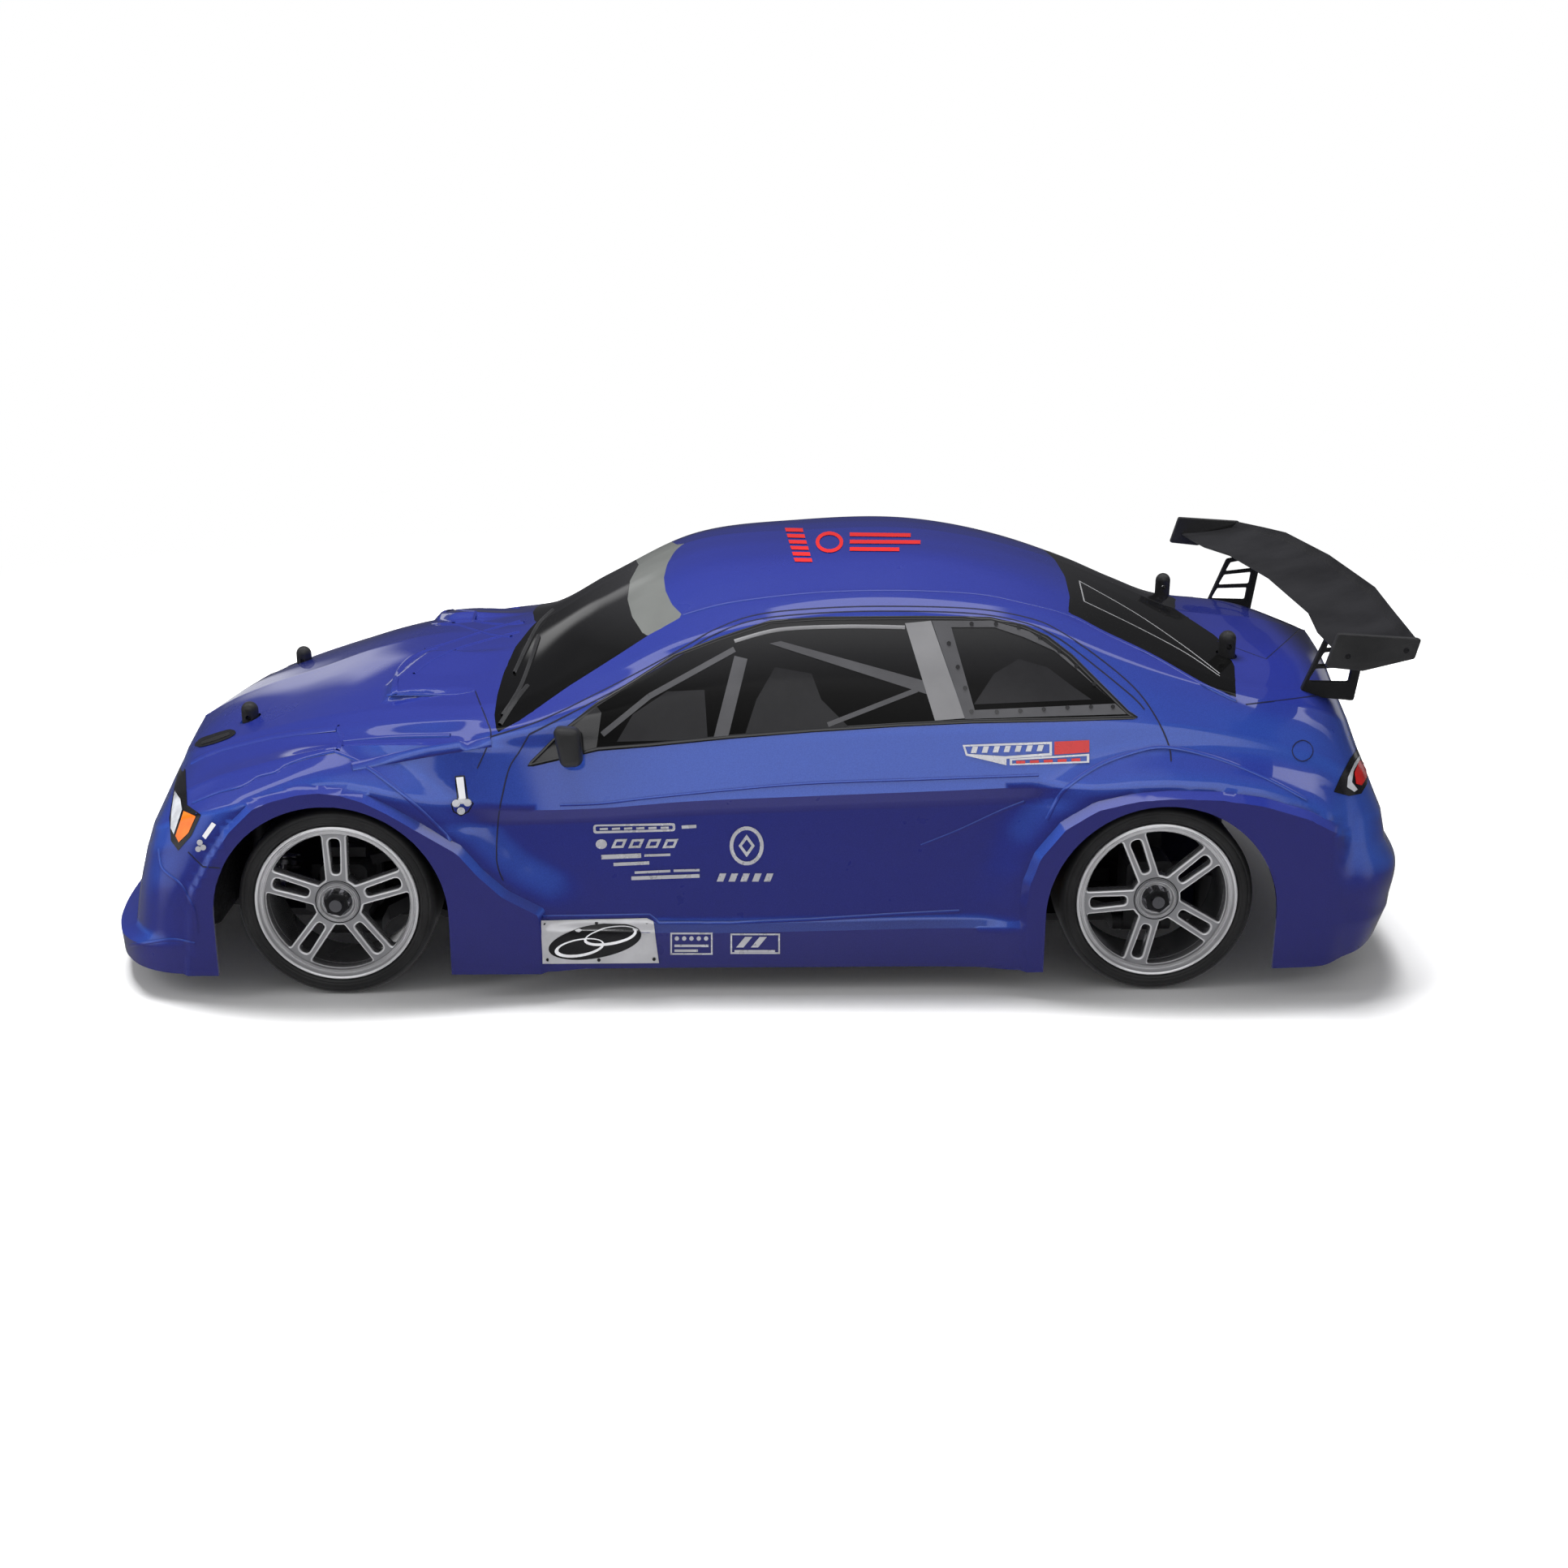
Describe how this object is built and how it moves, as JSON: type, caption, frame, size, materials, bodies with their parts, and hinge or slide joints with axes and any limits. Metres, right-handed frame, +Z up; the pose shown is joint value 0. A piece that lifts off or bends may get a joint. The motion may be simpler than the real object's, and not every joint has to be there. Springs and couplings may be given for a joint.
{
  "type": "remote control car",
  "caption": "One-tenth scale on-road remote control car: moulded coupe shell with a rear wing over a shaft-driven four-wheel-drive chassis.",
  "frame": {"origin": "on the ground plane, on the centreline, midway between the two axles", "axes": "+X to the nose, +Y to the car's left side, +Z up"},
  "size_m": [0.436, 0.2142, 0.1335],
  "materials": {
    "body_paint": "gloss",
    "black_plastic": "satin",
    "chassis_plastic": "matte",
    "rim_silver": "polished",
    "tyre_rubber": "matte",
    "steel": "brushed",
    "shock_alloy": "anodised",
    "spring_steel": "polished",
    "motor_can": "satin",
    "battery_wrap": "gloss",
    "electronics": "satin",
    "foam": "matte",
    "gear_plastic": "matte",
    "brass_gear": "machined",
    "servo_case": "satin"
  },
  "bodies": {
    "chassis": {"chassis_plate": "chassis_plastic", "bumper_foam": "foam", "body_posts": "black_plastic", "front_gearbox": "chassis_plastic", "rear_gearbox": "chassis_plastic", "shock_towers": "black_plastic", "motor": "motor_can", "battery_pack": "battery_wrap", "speed_controller": "electronics", "steering_servo": "servo_case"},
    "body": {"body_shell": "body_paint", "rear_wing": "black_plastic", "wing_end_plates": "black_plastic", "wing_stands": "black_plastic", "side_mirrors": "black_plastic"},
    "drive_shaft": {"centre_shaft": "gear_plastic"},
    "pinion": {"motor_pinion": "brass_gear"},
    "diff_front": {"front_diff": "steel"},
    "diff_rear": {"rear_diff": "steel"},
    "steering_arm": {"servo_saver": "chassis_plastic"},
    "arm_fl": {"lower_arm_fl": "chassis_plastic"},
    "caster_fl": {"caster_block_fl": "chassis_plastic"},
    "knuckle_fl": {"steering_knuckle_fl": "chassis_plastic"},
    "tie_rod_left": {"tie_rod_left": "steel"},
    "wheel_fl": {"stub_axle_fl": "steel", "rim_fl": "rim_silver", "tyre_fl": "tyre_rubber"},
    "bone_fl": {"dogbone_fl": "steel"},
    "shock_fl": {"shock_cylinder_fl": "shock_alloy", "shock_spring_fl": "spring_steel"},
    "shockrod_fl": {"shock_rod_fl": "steel"},
    "arm_fr": {"lower_arm_fr": "chassis_plastic"},
    "caster_fr": {"caster_block_fr": "chassis_plastic"},
    "knuckle_fr": {"steering_knuckle_fr": "chassis_plastic"},
    "tie_rod_right": {"tie_rod_right": "steel"},
    "wheel_fr": {"stub_axle_fr": "steel", "rim_fr": "rim_silver", "tyre_fr": "tyre_rubber"},
    "bone_fr": {"dogbone_fr": "steel"},
    "shock_fr": {"shock_cylinder_fr": "shock_alloy", "shock_spring_fr": "spring_steel"},
    "shockrod_fr": {"shock_rod_fr": "steel"},
    "arm_rl": {"lower_arm_rl": "chassis_plastic"},
    "hub_rl": {"hub_carrier_rl": "chassis_plastic"},
    "wheel_rl": {"stub_axle_rl": "steel", "rim_rl": "rim_silver", "tyre_rl": "tyre_rubber"},
    "bone_rl": {"dogbone_rl": "steel"},
    "shock_rl": {"shock_cylinder_rl": "shock_alloy", "shock_spring_rl": "spring_steel"},
    "shockrod_rl": {"shock_rod_rl": "steel"},
    "arm_rr": {"lower_arm_rr": "chassis_plastic"},
    "hub_rr": {"hub_carrier_rr": "chassis_plastic"},
    "wheel_rr": {"stub_axle_rr": "steel", "rim_rr": "rim_silver", "tyre_rr": "tyre_rubber"},
    "bone_rr": {"dogbone_rr": "steel"},
    "shock_rr": {"shock_cylinder_rr": "shock_alloy", "shock_spring_rr": "spring_steel"},
    "shockrod_rr": {"shock_rod_rr": "steel"}
  },
  "joints": [
    {"name": "body_lift", "type": "slide", "parent": "chassis", "child": "body", "axis": [0, 0, 1], "range_m": [0, 0.12]},
    {"name": "drive", "type": "hinge", "parent": "chassis", "child": "drive_shaft", "pos_m": [0, 0, 0.031], "axis": [1, 0, 0], "continuous": true},
    {"name": "pinion_spin", "type": "hinge", "parent": "chassis", "child": "pinion", "pos_m": [-0.092, -0.02381, 0.028], "axis": [1, 0, 0], "continuous": true},
    {"name": "front_diff_spin", "type": "hinge", "parent": "chassis", "child": "diff_front", "pos_m": [0.13, 0, 0.031], "axis": [0, 1, 0], "continuous": true},
    {"name": "rear_diff_spin", "type": "hinge", "parent": "chassis", "child": "diff_rear", "pos_m": [-0.13, 0, 0.031], "axis": [0, 1, 0], "continuous": true},
    {"name": "steering", "type": "hinge", "parent": "chassis", "child": "steering_arm", "pos_m": [0.09, 0.022, 0.047], "axis": [0, 0, 1], "range_deg": [-16, 16]},
    {"name": "suspension_front_left", "type": "hinge", "parent": "chassis", "child": "arm_fl", "pos_m": [0.13, 0.024, 0.015], "axis": [1, 0, 0], "range_deg": [-3, 4.5]},
    {"name": "camber_front_left", "type": "hinge", "parent": "arm_fl", "child": "caster_fl", "pos_m": [0.13, 0.074, 0.015], "axis": [1, 0, 0], "range_deg": [-6, 6]},
    {"name": "steer_front_left", "type": "hinge", "parent": "caster_fl", "child": "knuckle_fl", "pos_m": [0.13, 0.074, 0.031], "axis": [0, 0, 1], "range_deg": [-21, 21]},
    {"name": "tie_rod_left_slide", "type": "slide", "parent": "caster_fl", "child": "tie_rod_left", "axis": [-0.33, 0.944, 0], "range_m": [-0.007, 0.007]},
    {"name": "wheel_front_left", "type": "hinge", "parent": "knuckle_fl", "child": "wheel_fl", "pos_m": [0.13, 0.085, 0.031], "axis": [0, 1, 0], "continuous": true},
    {"name": "dogbone_front_left", "type": "hinge", "parent": "arm_fl", "child": "bone_fl", "pos_m": [0.13, 0.024, 0.031], "axis": [0, 1, 0], "continuous": true},
    {"name": "shock_tilt_front_left", "type": "hinge", "parent": "chassis", "child": "shock_fl", "pos_m": [0.1585, 0.028, 0.066], "axis": [1, 0, 0], "range_deg": [-2, 2]},
    {"name": "shock_stroke_front_left", "type": "slide", "parent": "shock_fl", "child": "shockrod_fl", "axis": [0, 0.4626, -0.8866], "range_m": [-0.004, 0.004], "deforming": ["shock_spring_fl"]},
    {"name": "suspension_front_right", "type": "hinge", "parent": "chassis", "child": "arm_fr", "pos_m": [0.13, -0.024, 0.015], "axis": [-1, 0, 0], "range_deg": [-3, 4.5]},
    {"name": "camber_front_right", "type": "hinge", "parent": "arm_fr", "child": "caster_fr", "pos_m": [0.13, -0.074, 0.015], "axis": [-1, 0, 0], "range_deg": [-6, 6]},
    {"name": "steer_front_right", "type": "hinge", "parent": "caster_fr", "child": "knuckle_fr", "pos_m": [0.13, -0.074, 0.031], "axis": [0, 0, 1], "range_deg": [-21, 21]},
    {"name": "tie_rod_right_slide", "type": "slide", "parent": "caster_fr", "child": "tie_rod_right", "axis": [0.33, 0.944, 0], "range_m": [-0.007, 0.007]},
    {"name": "wheel_front_right", "type": "hinge", "parent": "knuckle_fr", "child": "wheel_fr", "pos_m": [0.13, -0.085, 0.031], "axis": [0, 1, 0], "continuous": true},
    {"name": "dogbone_front_right", "type": "hinge", "parent": "arm_fr", "child": "bone_fr", "pos_m": [0.13, -0.024, 0.031], "axis": [0, 1, 0], "continuous": true},
    {"name": "shock_tilt_front_right", "type": "hinge", "parent": "chassis", "child": "shock_fr", "pos_m": [0.1585, -0.028, 0.066], "axis": [-1, 0, 0], "range_deg": [-2, 2]},
    {"name": "shock_stroke_front_right", "type": "slide", "parent": "shock_fr", "child": "shockrod_fr", "axis": [0, -0.4626, -0.8866], "range_m": [-0.004, 0.004], "deforming": ["shock_spring_fr"]},
    {"name": "suspension_rear_left", "type": "hinge", "parent": "chassis", "child": "arm_rl", "pos_m": [-0.13, 0.024, 0.015], "axis": [1, 0, 0], "range_deg": [-3, 4.5]},
    {"name": "camber_rear_left", "type": "hinge", "parent": "arm_rl", "child": "hub_rl", "pos_m": [-0.13, 0.074, 0.015], "axis": [1, 0, 0], "range_deg": [-6, 6]},
    {"name": "wheel_rear_left", "type": "hinge", "parent": "hub_rl", "child": "wheel_rl", "pos_m": [-0.13, 0.085, 0.031], "axis": [0, 1, 0], "continuous": true},
    {"name": "dogbone_rear_left", "type": "hinge", "parent": "arm_rl", "child": "bone_rl", "pos_m": [-0.13, 0.024, 0.031], "axis": [0, 1, 0], "continuous": true},
    {"name": "shock_tilt_rear_left", "type": "hinge", "parent": "chassis", "child": "shock_rl", "pos_m": [-0.1015, 0.028, 0.066], "axis": [1, 0, 0], "range_deg": [-2, 2]},
    {"name": "shock_stroke_rear_left", "type": "slide", "parent": "shock_rl", "child": "shockrod_rl", "axis": [0, 0.4626, -0.8866], "range_m": [-0.004, 0.004], "deforming": ["shock_spring_rl"]},
    {"name": "suspension_rear_right", "type": "hinge", "parent": "chassis", "child": "arm_rr", "pos_m": [-0.13, -0.024, 0.015], "axis": [-1, 0, 0], "range_deg": [-3, 4.5]},
    {"name": "camber_rear_right", "type": "hinge", "parent": "arm_rr", "child": "hub_rr", "pos_m": [-0.13, -0.074, 0.015], "axis": [-1, 0, 0], "range_deg": [-6, 6]},
    {"name": "wheel_rear_right", "type": "hinge", "parent": "hub_rr", "child": "wheel_rr", "pos_m": [-0.13, -0.085, 0.031], "axis": [0, 1, 0], "continuous": true},
    {"name": "dogbone_rear_right", "type": "hinge", "parent": "arm_rr", "child": "bone_rr", "pos_m": [-0.13, -0.024, 0.031], "axis": [0, 1, 0], "continuous": true},
    {"name": "shock_tilt_rear_right", "type": "hinge", "parent": "chassis", "child": "shock_rr", "pos_m": [-0.1015, -0.028, 0.066], "axis": [-1, 0, 0], "range_deg": [-2, 2]},
    {"name": "shock_stroke_rear_right", "type": "slide", "parent": "shock_rr", "child": "shockrod_rr", "axis": [0, -0.4626, -0.8866], "range_m": [-0.004, 0.004], "deforming": ["shock_spring_rr"]}
  ],
  "couplings": [
    {"joint": "pinion_spin", "follows": "drive", "ratio": -2.75},
    {"joint": "front_diff_spin", "follows": "drive", "ratio": 0.33333},
    {"joint": "rear_diff_spin", "follows": "drive", "ratio": 0.33333},
    {"joint": "camber_front_left", "follows": "suspension_front_left", "ratio": -1},
    {"joint": "steer_front_left", "follows": "steering", "ratio": -1.25},
    {"joint": "tie_rod_left_slide", "follows": "steering", "m_per_rad": 0.0209},
    {"joint": "wheel_front_left", "follows": "drive", "ratio": 0.33333},
    {"joint": "dogbone_front_left", "follows": "drive", "ratio": 0.33333},
    {"joint": "shock_tilt_front_left", "follows": "suspension_front_left", "ratio": 0.16419},
    {"joint": "shock_stroke_front_left", "follows": "suspension_front_left", "m_per_rad": -0.027137},
    {"joint": "camber_front_right", "follows": "suspension_front_right", "ratio": -1},
    {"joint": "steer_front_right", "follows": "steering", "ratio": -1.25},
    {"joint": "tie_rod_right_slide", "follows": "steering", "m_per_rad": 0.0209},
    {"joint": "wheel_front_right", "follows": "drive", "ratio": 0.33333},
    {"joint": "dogbone_front_right", "follows": "drive", "ratio": 0.33333},
    {"joint": "shock_tilt_front_right", "follows": "suspension_front_right", "ratio": 0.16419},
    {"joint": "shock_stroke_front_right", "follows": "suspension_front_right", "m_per_rad": -0.027137},
    {"joint": "camber_rear_left", "follows": "suspension_rear_left", "ratio": -1},
    {"joint": "wheel_rear_left", "follows": "drive", "ratio": 0.33333},
    {"joint": "dogbone_rear_left", "follows": "drive", "ratio": 0.33333},
    {"joint": "shock_tilt_rear_left", "follows": "suspension_rear_left", "ratio": 0.16419},
    {"joint": "shock_stroke_rear_left", "follows": "suspension_rear_left", "m_per_rad": -0.027137},
    {"joint": "camber_rear_right", "follows": "suspension_rear_right", "ratio": -1},
    {"joint": "wheel_rear_right", "follows": "drive", "ratio": 0.33333},
    {"joint": "dogbone_rear_right", "follows": "drive", "ratio": 0.33333},
    {"joint": "shock_tilt_rear_right", "follows": "suspension_rear_right", "ratio": 0.16419},
    {"joint": "shock_stroke_rear_right", "follows": "suspension_rear_right", "m_per_rad": -0.027137}
  ]
}
